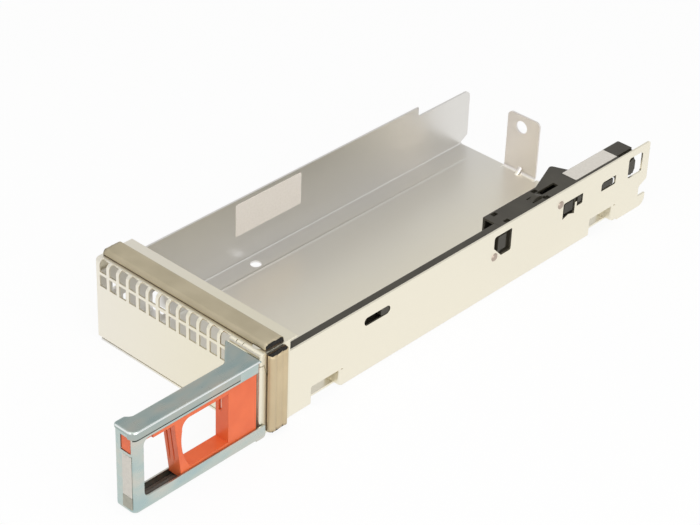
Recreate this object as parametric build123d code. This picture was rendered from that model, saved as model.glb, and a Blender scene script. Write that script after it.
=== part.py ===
"""Empty hot-swap carrier for a 3.5-inch hard disk drive.

A folded steel tray with a louvred front bezel, EMI gaskets on the bezel's top and right side,
a hinged ejector handle that holds a sliding trigger latch, and a black nylon guide with its
rear housing clipped into the tray's right wall.

Frame: millimetres, +Z up, -Y towards the user, +X to the user's right.  The origin is the
middle of the tray floor's underside.  The handle stands open, square to the bezel.
"""
from build123d import *
import math
import os

# ---------------------------------------------------------------- driving sizes: carrier
floor_length = 270.0        # bezel face to the floor's rear edge
bezel_width = 112.0         # over the bezel's two side flanges
bezel_height = 46.8         # tray underside to the bezel's top face
bezel_sheet = 0.8
bezel_top_bend = 3.0        # outside radius of the bend that the vents wrap over
bezel_side_bend = 1.5       # outside radius of the upright corners
bezel_foot_bend = 1.6
bezel_side_depth = 19.5     # side flanges, front to back
bezel_top_depth = 24.0      # top flange, front to back
bezel_foot_depth = 16.0     # bottom flange that laps over the tray floor

tray_sheet = 1.0
tray_bend = 0.9             # inside radius of the floor-to-wall bends
tray_front_gap = 0.1        # tray walls' front edges behind the bezel's corner bends
floor_front_gap = 0.4       # floor's front edge behind the bezel's face
floor_front_clear = 16.0    # floor's front edge is cut back beside the handle's hook
wall_height = 39.2
far_wall_low = 33.5         # height of the far wall behind its step
far_step_from_rear = 38.5   # step, measured forward from the floor's rear edge
far_wall_overhang = 5.0     # far wall behind the floor's rear edge
near_wall_overhang = 25.0   # near wall behind the floor's rear edge
bead_height = 0.3           # pressed bead along the floor
bead_width = 2.4
bead_from_wall = 13.2       # bead centre to the far wall's outer face
floor_hole_radius = 3.0
floor_hole_from_wall = 7.9
floor_hole_from_front = 100.4

# ---------------------------------------------------------------- vents and wing slot
vent_columns = 13
vent_pitch = 6.9
vent_width = 4.9
vent_first = 3.3            # first vent's left edge to the bezel's left side
vent_low = 32.2             # foot of the lower row
vent_rows_bar = 1.6
vent_lower_height = 6.5
vent_wrap = 2.5             # how far the upper row runs back over the bend
sight_hole_radius = 3.0
sight_hole_from_right = 6.7
sight_hole_back = 5.6

# ---------------------------------------------------------------- gaskets
gasket_height = 3.2
gasket_width = 12.0
gasket_setback = 4.5        # gasket's front edge behind the bezel's face
gasket_skin = 0.4           # conductive fabric
gasket_round = 2.2
gasket_end_gap = 0.4        # gasket's ends inside the bezel's edges
core_recess = 0.2           # foam cut back inside the fabric's ends
flute_depth = 0.35
flute_width = 1.8

# ---------------------------------------------------------------- near-wall cut-outs
# y from the bezel's face, z from the tray's underside: (y0, y1, z0, z1)
rail_slot = (70.8, 89.0, 27.7, 32.3)
clip_slot_b = (166.2, 179.8, 22.4, 35.3)
clip_slot_c = (221.8, 231.6, 21.4, 31.0)
clip_slot_c_small = (233.2, 238.0, 25.0, 31.0)
clip_slot_d = (254.0, 266.2, 24.8, 30.0)
clip_slot_e = (277.0, 289.2, 22.8, 35.2)
corner_notches = ((35.0, 57.0), (246.2, 268.4))
far_notch = (35.0, 41.0)
far_notch_into_floor = 8.0
far_tab_reach = 5.0
locating_dimples = ((167.0, 23.4), (219.2, 31.6))
dimple_height = 0.6
dimple_radius = 2.4
dimple_top_radius = 1.6
far_windows = ((9.2, 12.8, 24.6, 29.4), (15.8, 18.9, 13.6, 19.2))
notch_height = 11.0
notch_into_floor = 5.0
notch_tab_reach = 9.0
hook_slot_low = 7.0         # open slot in the near wall's rear edge
hook_slot_high = 13.6
hook_slot_depth = 6.4

# ---------------------------------------------------------------- rear tab
rear_tab_width = 22.0
rear_tab_height = 36.4
rear_tab_left_of_mid = 22.0  # tab's left edge, left of the tray's mid plane
rear_tab_hole_radius = 3.8
rear_tab_hole_z = 29.2
rear_tab_hole_in = 9.8       # hole's centre from the tab's left edge
rear_tab_bend = 2.2
rear_dart = 4.0              # pressed gusset at the tab's foot, high and deep
rear_dart_width = 3.6
rear_tab_relief = 0.8
rear_tab_relief_depth = 3.4

# ---------------------------------------------------------------- handle and hinge
handle_length = 77.0        # bezel face to the handle's free end, less its rear gap
handle_depth = 10.2         # across the rails
handle_low = 0.4            # underside above the tray's underside
handle_sheet = 0.8
cap_sheet = 0.6
handle_gap = 1.0            # rails' hinge end to the bezel's face
handle_proud = 1.2          # handle's outer face beyond the bezel's right side
handle_end_round = 3.0
handle_flare = 2.4          # free end's extra depth
handle_flare_length = 6.0
top_rail_height = 6.4       # outer face of the upper rail
low_rail_height = 6.9
end_post_width = 6.0
rail_lip = 4.2              # upstanding inner lips
rail_lip_end = 15.0         # lips stop this far from the bezel's face
hook_reach = 2.9            # lower rail's tail, past the bezel's face
cap_lip = 4.2               # cap's fold over the upper rail
cap_lip_end = 13.9
cap_end_lip = 2.0
cap_edge_round = 0.25
cap_under_flange = 0.2      # running gap between cap and the bezel's top flange
wing_reach = 13.2           # cap's wing, inwards from the rails
wing_slot_end = 1.1         # wing slot's end to the bezel's right side
wing_clearance = 0.3
tail_window_margins = (1.9, 1.1)  # window's sides inside the rails' inner side and outer sheet
tail_window_height = 8.4
tail_window_over = 0.3      # window's head above the latch's top

pivot_from_right = 6.8      # hinge axis to the bezel's right side
pivot_forward = 5.0         # hinge axis in front of the bezel's face
pin_radius = 1.5
pin_running_gap = 0.05
bush_wall = 0.75
bush_flange = 0.5
ear_radius = 4.2
ear_sheet = 0.8
ear_gap = 0.3               # bush flange to ear
clip_thickness = 0.6
clip_radius = 3.0
bracket_rivet_radius = 1.5

# ---------------------------------------------------------------- trigger latch
latch_travel = 6.0
latch_gap = 0.2             # latch behind the handle's outer sheet
latch_plate = 1.5
latch_plate_start = 20.0    # plate's free edge, from the bezel's face
latch_plate_end = 2.3
latch_frame_end = 50.5      # grip bar's outer face, from the bezel's face
latch_floor_z = 8.8         # window floor
latch_roof = 5.1            # latch above its window
latch_low = 4.3
latch_head_room = 3.0       # latch's top below the upper rail, where the spring runs
latch_grip = 3.2            # grip bar at its waist
latch_wall = 1.5
tail_depth = 5.8
tail_block = 5.0
tail_sunk = 0.4             # tail's end face inside the handle's outer face
tail_clearance = 0.3        # tail inside its window

spring_wire = 0.28
spring_radius = 1.0
spring_turns = 6
spring_length = 23.0

# ---------------------------------------------------------------- nylon guide and housing
rail_width = 5.2
rail_low = 24.0
rail_top = 38.5
rail_wall = 1.2
rail_from_front = 14.0
rail_boss_length = 6.4
light_pipe_radius = 1.1

housing_from_front = 172.5
housing_length = 110.5
housing_width = 12.5
housing_low = 20.0
housing_step_low = 24.0
housing_step = 243.0        # floor of the housing rises here
housing_wall = 1.4
cover_thickness = 1.2
fin_start = 214.4
fin_tip = 236.5
fin_end = 240.2
fin_reach = 8.4
fin_round = 2.0
cover_gap = 0.1
clip_clearance = 0.3
clip_reach = 0.7            # clips' reach into the wall
clip_pocket_depth = 2.0     # clearance moulded round each clip
clip_wall = 3.4             # housing wall that carries the clips
# each clip pad stands inside its slot by (front, rear, below, above)
clip_pads = (
    (clip_slot_b, (3.3, 4.3, 3.2, 1.3)),
    (clip_slot_c, (1.2, 1.6, 2.8, 1.0)),
    (clip_slot_c_small, (0.8, 0.8, 1.4, 0.8)),
    (clip_slot_d, (0.8, 2.0, 0.8, 1.0)),
)

label_thickness = 0.15

# ---------------------------------------------------------------- derived planes
front = -floor_length / 2
rear = floor_length / 2
right = bezel_width / 2
wall_out = right - bezel_sheet          # tray walls' outer faces
wall_in = wall_out - tray_sheet
tray_start = front + bezel_side_bend + tray_front_gap
flange_under = bezel_height - bezel_sheet
cap_top = flange_under - cap_under_flange
cap_under = cap_top - cap_sheet
face_out = right + handle_proud         # handle's outer face
face_in = face_out - handle_sheet
rails_in = face_out - handle_depth      # handle's inner side
free_end = front - handle_gap - handle_length
pivot_x = right - pivot_from_right
pivot_y = front - pivot_forward
top_flange_under = cap_under - handle_sheet
low_flange_top = handle_low + handle_sheet
ear_top = top_flange_under - bush_flange - ear_gap
ear_bottom = low_flange_top + bush_flange + ear_gap
latch_top = top_flange_under - latch_head_room
latch_roof_z = latch_top - latch_roof
tail_window = (
    rails_in + tail_window_margins[0], face_in - tail_window_margins[1],
    latch_top + tail_window_over - tail_window_height, latch_top + tail_window_over,
)


# ---------------------------------------------------------------- small helpers
def block(x0, x1, y0, y1, z0, z1):
    """Axis-aligned block between two corners."""
    middle = Pos((x0 + x1) / 2, (y0 + y1) / 2, (z0 + z1) / 2)
    return middle * Box(x1 - x0, y1 - y0, z1 - z0)


def along_x(sketch, x0, x1):
    """Extrude a (y, z) sketch from x0 to x1."""
    return extrude(Plane.YZ.offset(x0) * sketch, amount=x1 - x0)


def along_y(sketch, y0, y1):
    """Extrude an (x, z) sketch from y0 to y1."""
    return extrude(Plane.XZ.offset(-y1) * sketch, amount=y1 - y0)


def along_z(sketch, z0, z1):
    """Extrude an (x, y) sketch from z0 to z1."""
    return extrude(Plane.XY.offset(z0) * sketch, amount=z1 - z0)


def outline(points, radii=None):
    """Closed face through points; radii maps a point's index to its corner radius."""
    face = make_face(Polyline(*points, close=True))
    for index, radius in (radii or {}).items():
        corner = Vector(*points[index], 0)
        near = face.vertices().sort_by_distance(corner)[0]
        face = fillet(near, radius)
    return face


def rectangle(u0, u1, v0, v1, radius=0.0):
    """Rectangle between two corners, with all four corners rounded if asked."""
    face = Pos((u0 + u1) / 2, (v0 + v1) / 2) * Rectangle(u1 - u0, v1 - v0)
    return fillet(face.vertices(), radius) if radius else face


def folded(points, thickness, inside):
    """Section of a folded sheet: points run along one face, the sheet lies on their left."""
    steps = [Vector(*b) - Vector(*a) for a, b in zip(points, points[1:])]
    units = [step.normalized() for step in steps]
    normals = [Vector(-unit.Y, unit.X) for unit in units]
    shifted = [Vector(*points[0]) + normals[0] * thickness]
    outer_radii = []
    inner_radii = []
    for index in range(1, len(points) - 1):
        before, after = normals[index - 1], normals[index]
        mitre = (before + after) * (thickness / (1 + before.dot(after)))
        shifted.append(Vector(*points[index]) + mitre)
        turns_left = units[index - 1].cross(units[index]).Z > 0
        outer_radii.append(inside + thickness if turns_left else inside)
        inner_radii.append(inside if turns_left else inside + thickness)
    shifted.append(Vector(*points[-1]) + normals[-1] * thickness)
    side_a = FilletPolyline(*points, radius=outer_radii)
    side_b = FilletPolyline(*shifted, radius=inner_radii)
    ends = [Line(side_a @ 0, side_b @ 0), Line(side_a @ 1, side_b @ 1)]
    return make_face([side_a, side_b, *ends])


def from_front(size):
    """Shift a (y0, y1, z0, z1) size, given from the bezel's face, into the frame."""
    y0, y1, z0, z1 = size
    return front + y0, front + y1, z0, z1


# ---------------------------------------------------------------- tray
def near_wall_cuts():
    """Cut-outs of the right wall: the rail's slot and the housing's clip slots."""
    skin = (wall_in - 1, wall_out + 1)
    y0, y1, z0, z1 = from_front(rail_slot)
    slot = Pos((y0 + y1) / 2, (z0 + z1) / 2) * SlotOverall(y1 - y0, z1 - z0)
    cuts = along_x(slot, *skin)

    y0, y1, z0, z1 = from_front(clip_slot_b)
    chamfered = outline(
        [(y0 + 6.0, z0), (y1, z0), (y1, z1), (y0, z1), (y0, z0 + 6.2)], {3: 1.6, 1: 0.8, 2: 0.8}
    )
    cuts += along_x(chamfered, *skin)

    y0, y1, z0, z1 = from_front(clip_slot_c)
    small_y0, small_y1, small_z0, _ = from_front(clip_slot_c_small)
    middle = (y0 + y1) / 2
    toothed = outline(
        [
            (y0, z0), (middle, z0 + 1.5), (y1, z0), (y1, z1 - 3), (small_y0, z1 - 3),
            (small_y0, small_z0), (small_y1, small_z0), (small_y1, z1), (y0, z1),
        ],
        {8: 1.2, 7: 0.6, 6: 0.6},
    )
    cuts += along_x(toothed, *skin)

    y0, y1, z0, z1 = from_front(clip_slot_d)
    cuts += along_x(outline([(y0, z0), (y1, z0), (y1, z1), (y0, z1)], {3: 2.0, 1: 0.8}), *skin)
    y0, y1, z0, z1 = from_front(clip_slot_e)
    cuts += along_x(rectangle(y0, y1, z0, z1, 1.6), *skin)

    return cuts


def lance_windows():
    """Small windows through the bezel's left flange and the tray's left wall."""
    cuts = []
    for size in far_windows:
        cuts += along_x(rectangle(*from_front(size)), -right - 1, 1 - wall_in)
    return cuts


def corner_notch(size, into_floor=notch_into_floor):
    """Notch through the right wall's foot and the floor's edge."""
    start, end = size
    window = outline(
        [(front + start, -1), (front + end, -1),
         (front + end, notch_height), (front + start, notch_height)],
        {2: 1.0, 3: 1.0},
    )
    cut = along_x(window, wall_in - 1, wall_out + 1)
    return cut + block(wall_out - into_floor, wall_out + 1, front + start, front + end,
                       -1, tray_sheet + tray_bend + 0.1)


def dimple(y, z):
    """Flat-topped cone embossed out of the right wall's outer face."""
    cone = Cone(dimple_radius, dimple_top_radius, dimple_height)
    return Pos(wall_out + dimple_height / 2, front + y, z) * Rot(0, 90, 0) * cone


def notch_tab(size, reach=notch_tab_reach):
    """Tab lanced from a corner notch and folded inwards at the notch's rear edge."""
    y_rear = front + size[1]
    section = folded(
        [(wall_in, y_rear + 3.0), (wall_in, y_rear - tray_sheet),
         (wall_in - reach, y_rear - tray_sheet)],
        tray_sheet, 0.6,
    )
    bent = along_z(section, tray_sheet + 0.4, notch_height - 0.6)
    return bent & block(0, wall_out, y_rear - 3, y_rear + 2, 0, notch_height)


def rear_tab():
    """Upstanding fixing tab on the floor's rear edge, with its pressed stiffening dart."""
    left = -rear_tab_left_of_mid
    middle = left + rear_tab_width / 2
    back = rear + 0.4
    root = rear - 5.0
    section = folded([(root, 0), (back, 0), (back, rear_tab_height)], tray_sheet, rear_tab_bend)
    strip = along_x(section, left, left + rear_tab_width)
    mask = outline(
        [(left, -1), (left + rear_tab_width, -1),
         (left + rear_tab_width, rear_tab_height), (left, rear_tab_height)],
        {2: 3.0, 3: 3.0},
    )
    strip &= along_y(mask, root - 1, back + 1)
    bore = Cylinder(rear_tab_hole_radius, 8, rotation=(90, 0, 0))
    strip -= Pos(rear_tab_hole_in - rear_tab_left_of_mid, back, rear_tab_hole_z) * bore
    foot = back - tray_sheet
    start = foot - rear_dart
    dart = outline([(start, tray_sheet - 0.3), (foot + 0.3, tray_sheet - 0.3),
                    (foot + 0.3, tray_sheet + rear_dart)])
    dart = along_x(dart, middle - rear_dart_width / 2, middle + rear_dart_width / 2)
    slope = [edge for edge in dart.edges() if abs((edge % 0).Y * (edge % 0).Z) > 0.1]
    return strip + fillet(slope, rear_dart_width * 0.42)


def tray():
    """Floor and both walls from one folded sheet, with lanced tabs and rear fixing tab."""
    section = folded(
        [(-wall_out, wall_height), (-wall_out, 0), (wall_out, 0), (wall_out, wall_height)],
        tray_sheet, tray_bend,
    )
    body = along_y(section, tray_start, rear)
    edge = wall_in - tray_bend
    body += block(-edge, edge - floor_front_clear, front + floor_front_gap, tray_start + 1,
                  0, tray_sheet)

    bead_x = -wall_out + bead_from_wall
    half = bead_width / 2
    ridge = outline([(bead_x - half, 0), (bead_x + half, 0), (bead_x, bead_height)])
    bead = along_y(ridge, front + bezel_foot_depth + 2, rear - 10)
    body += Pos(0, 0, tray_sheet) * bead
    body -= bead

    step = rear - far_step_from_rear
    lowered = outline(
        [(step, far_wall_low), (rear + 1, far_wall_low), (rear + 1, 60), (step, 60)], {0: 2.0}
    )
    body -= along_x(lowered, -wall_out - 1, -wall_in + 1)

    back = rear + far_wall_overhang
    far_end = outline(
        [(rear - 0.5, 2.2), (rear, 2.2), (back, 5.0), (back, far_wall_low),
         (rear - 0.5, far_wall_low)],
        {3: 4.0, 2: 1.5},
    )
    body += along_x(far_end, -wall_out, -wall_in)

    back = rear + near_wall_overhang
    near_end = outline(
        [(rear - 0.5, 2.2), (rear, 2.2), (rear + 1.2, 0), (back, 0), (back, wall_height),
         (rear - 0.5, wall_height)],
        {3: 4.5, 4: 1.5},
    )
    body += along_x(near_end, wall_in, wall_out)
    mouth = outline(
        [(back - hook_slot_depth, hook_slot_low), (back + 1, hook_slot_low),
         (back + 1, hook_slot_high + 3.0), (back - hook_slot_depth + 1, hook_slot_high),
         (back - hook_slot_depth, hook_slot_high - 1)],
    )
    body -= along_x(mouth, wall_in - 1, wall_out + 1)

    for y, z in locating_dimples:
        bump = dimple(y, z)
        body += bump
        body -= Pos(-tray_sheet, 0, 0) * bump
    body -= near_wall_cuts()
    for size in corner_notches:
        body -= corner_notch(size)
        body += notch_tab(size)
    body -= mirror(corner_notch(far_notch, far_notch_into_floor), about=Plane.YZ)
    body += mirror(notch_tab(far_notch, far_tab_reach), about=Plane.YZ)
    body -= lance_windows()

    left = -rear_tab_left_of_mid
    body -= block(left - rear_tab_relief, left + rear_tab_width + rear_tab_relief,
                  rear - rear_tab_relief_depth, rear + 1, -1, tray_sheet + 1)
    body -= block(left, left + rear_tab_width, rear - 5.0, rear + 1, -1, tray_sheet + 1)
    body += rear_tab()

    hole_x = -wall_out + floor_hole_from_wall
    body -= Pos(hole_x, front + floor_hole_from_front, 0) * Cylinder(floor_hole_radius, 6)
    return body


# ---------------------------------------------------------------- bezel
def bezel_envelope(inset):
    """Outer form of the bezel box, drawn in by inset on its five closed sides."""
    low = tray_sheet + inset
    top = bezel_height - inset
    face = front + inset
    back = front + 40
    side = right - inset
    section = outline(
        [(face, low), (back, low), (back, top), (face, top)],
        {3: bezel_top_bend - inset, 0: bezel_foot_bend - inset},
    )
    plan = outline(
        [(-side, face), (side, face), (side, back), (-side, back)],
        {0: bezel_side_bend - inset, 1: bezel_side_bend - inset},
    )
    return along_x(section, -side, side) & along_z(plan, low, top)


def vent_grille():
    """Both rows of vents; the upper row wraps over the top bend."""
    cuts = []
    upper_low = vent_low + vent_lower_height + vent_rows_bar
    for column in range(vent_columns):
        x0 = -right + vent_first + column * vent_pitch
        x1 = x0 + vent_width
        lower = rectangle(x0, x1, vent_low, vent_low + vent_lower_height)
        cuts.append(along_y(lower, front - 1, front + 2))
        upper = rectangle(x0, x1, front - 1, front + vent_wrap)
        cuts.append(along_z(upper, upper_low, bezel_height + 1))
    return cuts


def front_bezel():
    """Folded bezel box: face, top and foot flanges, side flanges, vents and wing slot."""
    shell = bezel_envelope(0) - bezel_envelope(bezel_sheet)
    far = front + 50
    shell -= block(-right - 1, right + 1, front + bezel_top_depth, far, -1, bezel_height + 1)
    shell -= block(-right - 1, right + 1, front + bezel_side_depth, far, -1, flange_under)
    shell -= block(-right - 1, right + 1, front + bezel_foot_depth, far, -1, tray_sheet + bezel_sheet)
    shell -= vent_grille()

    slot_left = rails_in - wing_reach - 3.8
    shell -= block(slot_left, right - wing_slot_end, front - 1, front + bezel_top_bend,
                   cap_under - wing_clearance, flange_under)
    stop_tab = rails_in - 7.9
    for x in (stop_tab, stop_tab + 4.0):
        shell -= block(x, x + 0.5, front - 1, front + 2.6, flange_under - 1, bezel_height + 1)

    hole = Pos(right - sight_hole_from_right, front + sight_hole_back, bezel_height)
    shell -= hole * Cylinder(sight_hole_radius, 4)

    relief = outline(
        [(front - 1, 40.6), (front + 2.9, 40.6), (front + 5.8, 31.0), (front + 5.3, 31.0),
         (front + 2.5, 40.1), (front - 1, 40.1)]
    )
    shell -= along_x(relief, right - bezel_sheet - 0.5, right + 1)

    for z in rivet_heights():
        shell -= Pos(pivot_x, front, z) * Cylinder(bracket_rivet_radius, 8, rotation=(90, 0, 0))
    shell -= lance_windows()
    for side in (-1, 1):
        corner = [side * (wall_in - tray_bend), side * wall_out]
        shell -= block(min(corner), max(corner), tray_start, far, 0,
                       tray_sheet + bezel_foot_bend + 0.4)
    return shell


# ---------------------------------------------------------------- gaskets
def gasket_section(inset, flutes):
    """Half-round gasket section, flat side down, with flutes along its back if asked."""
    width = gasket_width / 2 - inset
    top = gasket_height - inset
    face = outline(
        [(-width, inset), (width, inset), (width, top), (-width, top)],
        {2: gasket_round - inset, 3: gasket_round - inset},
    )
    half = flute_width / 2
    groove = (half ** 2 + flute_depth ** 2) / (2 * flute_depth)
    for side in flutes:
        face -= Pos(side, top - flute_depth + groove) * Circle(groove)
    return face


def gasket(flutes):
    """Sleeve and foam core sections of one gasket."""
    return gasket_section(0, flutes) - gasket_section(gasket_skin, flutes), gasket_section(
        gasket_skin, flutes
    )


def top_gaskets():
    """Fabric sleeve and foam core along the bezel's top flange."""
    sleeve, core = gasket(())
    place = Pos(front + gasket_setback + gasket_width / 2, bezel_height)
    end = right - gasket_end_gap
    return (along_x(place * sleeve, -end, end),
            along_x(place * core, -end + core_recess, end - core_recess))


def side_gaskets():
    """Fabric sleeve and foam core up the bezel's right flange."""
    third = gasket_width / 6
    sleeve, core = gasket((-third, third))
    place = Pos(right, front + gasket_setback + gasket_width / 2) * Rot(0, 0, -90)
    low = tray_sheet + bezel_sheet - gasket_end_gap
    high = bezel_height - bezel_sheet
    return (along_z(place * sleeve, low, high),
            along_z(place * core, low + core_recess, high - core_recess))


# ---------------------------------------------------------------- hinge
def hinge_bracket():
    """Bracket riveted to the bezel's face: a web with two ears that carry the pin."""
    x0 = pivot_x - ear_radius
    x1 = pivot_x + ear_radius
    section = folded(
        [(pivot_y - ear_radius, ear_bottom), (front, ear_bottom), (front, ear_top),
         (pivot_y - ear_radius, ear_top)],
        ear_sheet, 0.5,
    )
    body = along_x(section, x0, x1)
    plan = Pos(pivot_x, pivot_y) * Circle(ear_radius)
    plan += rectangle(x0, x1, pivot_y, front)
    body &= along_z(plan, 0, bezel_height)
    body -= Pos(pivot_x, pivot_y, bezel_height / 2) * Cylinder(pin_radius, bezel_height * 2)
    for z in rivet_heights():
        body -= Pos(pivot_x, front, z) * Cylinder(bracket_rivet_radius, 8, rotation=(90, 0, 0))
    return body


def rivet_heights():
    """Heights of the two rivets that hold the hinge bracket."""
    span = ear_top - ear_bottom
    return ear_bottom + span * 0.25, ear_bottom + span * 0.75


def bracket_rivets():
    """Two low-headed rivets through the bracket's web and the bezel's face."""
    profile = outline(
        [(0, 0), (2.6, 0), (2.3, 0.7), (0, 0.9)]
    )
    head = revolve(Plane.XZ * profile, Axis.Z)
    rivets = []
    for z in rivet_heights():
        shank = Pos(pivot_x, front + (bezel_sheet - ear_sheet) / 2, z) * Cylinder(
            bracket_rivet_radius, bezel_sheet + ear_sheet, rotation=(90, 0, 0)
        )
        outer = Pos(pivot_x, front - ear_sheet, z) * Rot(90, 0, 0) * head
        inner = Pos(pivot_x, front + bezel_sheet, z) * Rot(-90, 0, 0) * head
        rivets.append(shank + outer + inner)
    return rivets


def hinge_pin():
    """Plain pin with chamfered ends and a groove inside each ear for its retaining ring."""
    low = handle_low + 0.1
    high = cap_under - 0.1
    body = Pos(pivot_x, pivot_y, (low + high) / 2) * Cylinder(pin_radius, high - low)
    body = chamfer(body.edges().filter_by(GeomType.CIRCLE), 0.3)
    for z in ring_heights():
        groove = Cylinder(pin_radius + 1, clip_thickness) - Cylinder(pin_radius - 0.3, clip_thickness)
        body -= Pos(pivot_x, pivot_y, z) * groove
    return body


def ring_heights():
    """Heights of the retaining rings, just inside the two ears."""
    inset = ear_sheet + clip_thickness / 2 + 0.05
    return ear_bottom + inset, ear_top - inset


def pin_clips():
    """E-shaped retaining rings in the pin's grooves."""
    ring = Circle(clip_radius) - Circle(pin_radius - 0.25)
    ring -= rectangle(-1.0, 1.0, -clip_radius - 1, 0)
    ring -= Pos(0, pin_radius + 0.3) * Rectangle(1.2, 0.8)
    half = clip_thickness / 2
    return [Pos(pivot_x, pivot_y) * along_z(ring, z - half, z + half) for z in ring_heights()]


def bush(low, high, flange_up):
    """Flanged nylon bush in one rail, running on the hinge pin."""
    sleeve = pin_radius + pin_running_gap
    body = Circle(sleeve + bush_wall)
    flange = Circle(sleeve + bush_wall + 0.9)
    bore = Circle(sleeve)
    edge = high if flange_up else low - bush_flange
    ring = along_z(body - bore, low, high) + along_z(flange - bore, edge, edge + bush_flange)
    return Pos(pivot_x, pivot_y) * ring


def hinge_bushes():
    """The bushes of the upper and lower rails."""
    return [bush(handle_low, low_flange_top, True), bush(top_flange_under, cap_under, False)]


# ---------------------------------------------------------------- handle
def handle_plan(inset):
    """Plan of the handle frame, drawn in by inset, with its flared free end."""
    out = face_out - inset
    inner = rails_in + inset
    end = free_end + inset
    back = front - handle_gap + 2
    flare = inner - handle_flare
    root = free_end + handle_flare_length
    return outline(
        [(out, end), (out, back), (inner, back), (inner, root + handle_flare),
         (flare, root), (flare, end)],
        {0: handle_end_round - inset, 3: 3.0, 4: 2.0, 5: 2.0 - inset},
    )


def handle_frame():
    """Folded handle frame: outer face with its window, rails, end post and inner lips."""
    outer = along_z(handle_plan(0), handle_low, cap_under)
    outer = fillet(outer.faces().sort_by(Axis.Z)[0].edges(), 1.2)
    outer = fillet(outer.faces().sort_by(Axis.Z)[-1].edges(), 0.8)
    inner = along_z(handle_plan(handle_sheet), low_flange_top, top_flange_under)
    frame = outer - inner
    hinge_end = front - handle_gap
    frame -= block(0, face_out + 1, hinge_end, front + 5, -1, bezel_height)

    window_low = handle_low + low_rail_height
    window_top = cap_top - top_rail_height
    window_start = free_end + end_post_width
    window = outline(
        [(window_start, window_low), (front + 5, window_low),
         (front + 5, window_top), (window_start, window_top)],
        {0: 3.2, 3: 3.2},
    )
    frame -= along_x(window, face_in - 0.5, face_out + 1)

    lip_low = low_flange_top + rail_lip
    lip_high = top_flange_under - rail_lip
    open_side = outline(
        [(window_start, lip_low), (front - rail_lip_end, lip_low),
         (front - rail_lip_end, low_flange_top), (front + 5, low_flange_top),
         (front + 5, top_flange_under), (front - rail_lip_end, top_flange_under),
         (front - rail_lip_end, lip_high), (window_start, lip_high)],
    )
    frame -= along_x(open_side, rails_in - 4, rails_in + handle_sheet)
    frame -= block(face_in - 0.5, face_out + 1, front - 2.0, front + 5, window_top - 1, bezel_height)

    tail = outline(
        [(front - 3, handle_low), (front + hook_reach, handle_low),
         (front + hook_reach, window_low), (front - 3, window_low)],
        {1: 1.5, 2: 0.8},
    )
    frame += along_x(tail, face_in, face_out)

    x0, x1, z0, z1 = tail_window
    frame -= block(x0, x1, free_end - 1, free_end + handle_sheet + 0.5, z0, z1)

    bush_radius = pin_radius + pin_running_gap + bush_wall
    frame -= Pos(pivot_x, pivot_y, bezel_height / 2) * Cylinder(bush_radius, bezel_height * 2)

    stop_y = spring_stop_y()
    stop = block(spring_x() - 1.5, spring_x() + 1.5, stop_y - handle_sheet, stop_y,
                 latch_top + 0.3, top_flange_under + 0.2)
    return frame + stop


def handle_cap():
    """Plate over the upper rail: hinge-end wing, free-end flare and folded-down lips."""
    side = face_out + cap_sheet
    end = free_end - cap_sheet
    flare = rails_in - handle_flare
    back = front - 0.6
    wing_tip = rails_in - wing_reach
    root = free_end + handle_flare_length

    def plan(inset):
        return outline(
            [(side - inset, end + inset), (side - inset, back), (wing_tip, back),
             (rails_in, back - wing_reach), (rails_in, root + handle_flare),
             (flare, root), (flare, end + inset)],
            {0: handle_end_round + cap_sheet - inset, 2: 0.5, 3: 4.0, 4: 3.0, 5: 2.0,
             6: 2.0 - inset},
        )

    body = along_z(plan(0), cap_top - cap_lip, cap_top)
    over = [edge for edge in body.faces().sort_by(Axis.Z)[-1].edges()
            if edge.center().X > face_out - 2 and edge.center().Y < back - 0.1]
    body = fillet(over, cap_sheet + 0.5)
    hollow = outline(
        [(face_out, free_end), (face_out, back + 2), (rails_in - 60, back + 2),
         (rails_in - 60, free_end)],
        {0: handle_end_round},
    )
    cavity = along_z(hollow, cap_top - cap_lip - 1, cap_under)
    roof = cavity.faces().sort_by(Axis.Z)[-1].edges()
    body -= fillet([edge for edge in roof if edge.center().X > face_out - 2], 0.5)
    body -= block(face_out - 1, side + 1, front - cap_lip_end, front + 5,
                  cap_top - cap_lip - 1, cap_under - 0.3)
    body -= block(rails_in - 20, face_out - handle_end_round - 0.2, end - 1, free_end + 0.05,
                  cap_top - cap_lip - 1, cap_top - cap_end_lip)
    rim = [edge for edge in body.edges().filter_by_position(
               Axis.Z, cap_top - cap_lip - 0.01, cap_top - cap_lip + 0.01)
           if edge.center().X > side - 0.1]
    return fillet(rim, cap_edge_round)


# ---------------------------------------------------------------- latch, its track and spring
def spring_x():
    """Centre line of the return spring, in the upper rail."""
    return rails_in + handle_sheet + 4.2


def spring_stop_y():
    """Face of the frame's lanced stop that the spring pushes on."""
    return front - 47.8


def latch_grip_profile():
    """Side view of the trigger's window frame, with its curved finger face."""
    outer_face = front - latch_frame_end
    plate_edge = front - latch_plate_start
    back_edge = plate_edge + latch_wall
    body = outline(
        [(outer_face + 1.6, latch_low), (back_edge, latch_low), (back_edge, latch_top),
         (outer_face - 2.4, latch_top), (outer_face - 2.4, latch_roof_z)],
        {},
    )
    waist = outer_face + latch_grip - 0.8
    finger = make_face(
        [
            Line((plate_edge, latch_floor_z), (plate_edge, latch_roof_z)),
            Line((plate_edge, latch_roof_z), (waist + 4.0, latch_roof_z)),
            ThreePointArc((waist + 4.0, latch_roof_z), (waist + 0.9, latch_roof_z - 1.8),
                          (waist - 0.2, latch_roof_z - 5.5)),
            ThreePointArc((waist - 0.2, latch_roof_z - 5.5), (waist - 0.4, 21.0),
                          (waist + 4.4, latch_floor_z)),
            Line((waist + 4.4, latch_floor_z), (plate_edge, latch_floor_z)),
        ]
    )
    return body - finger


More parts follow.
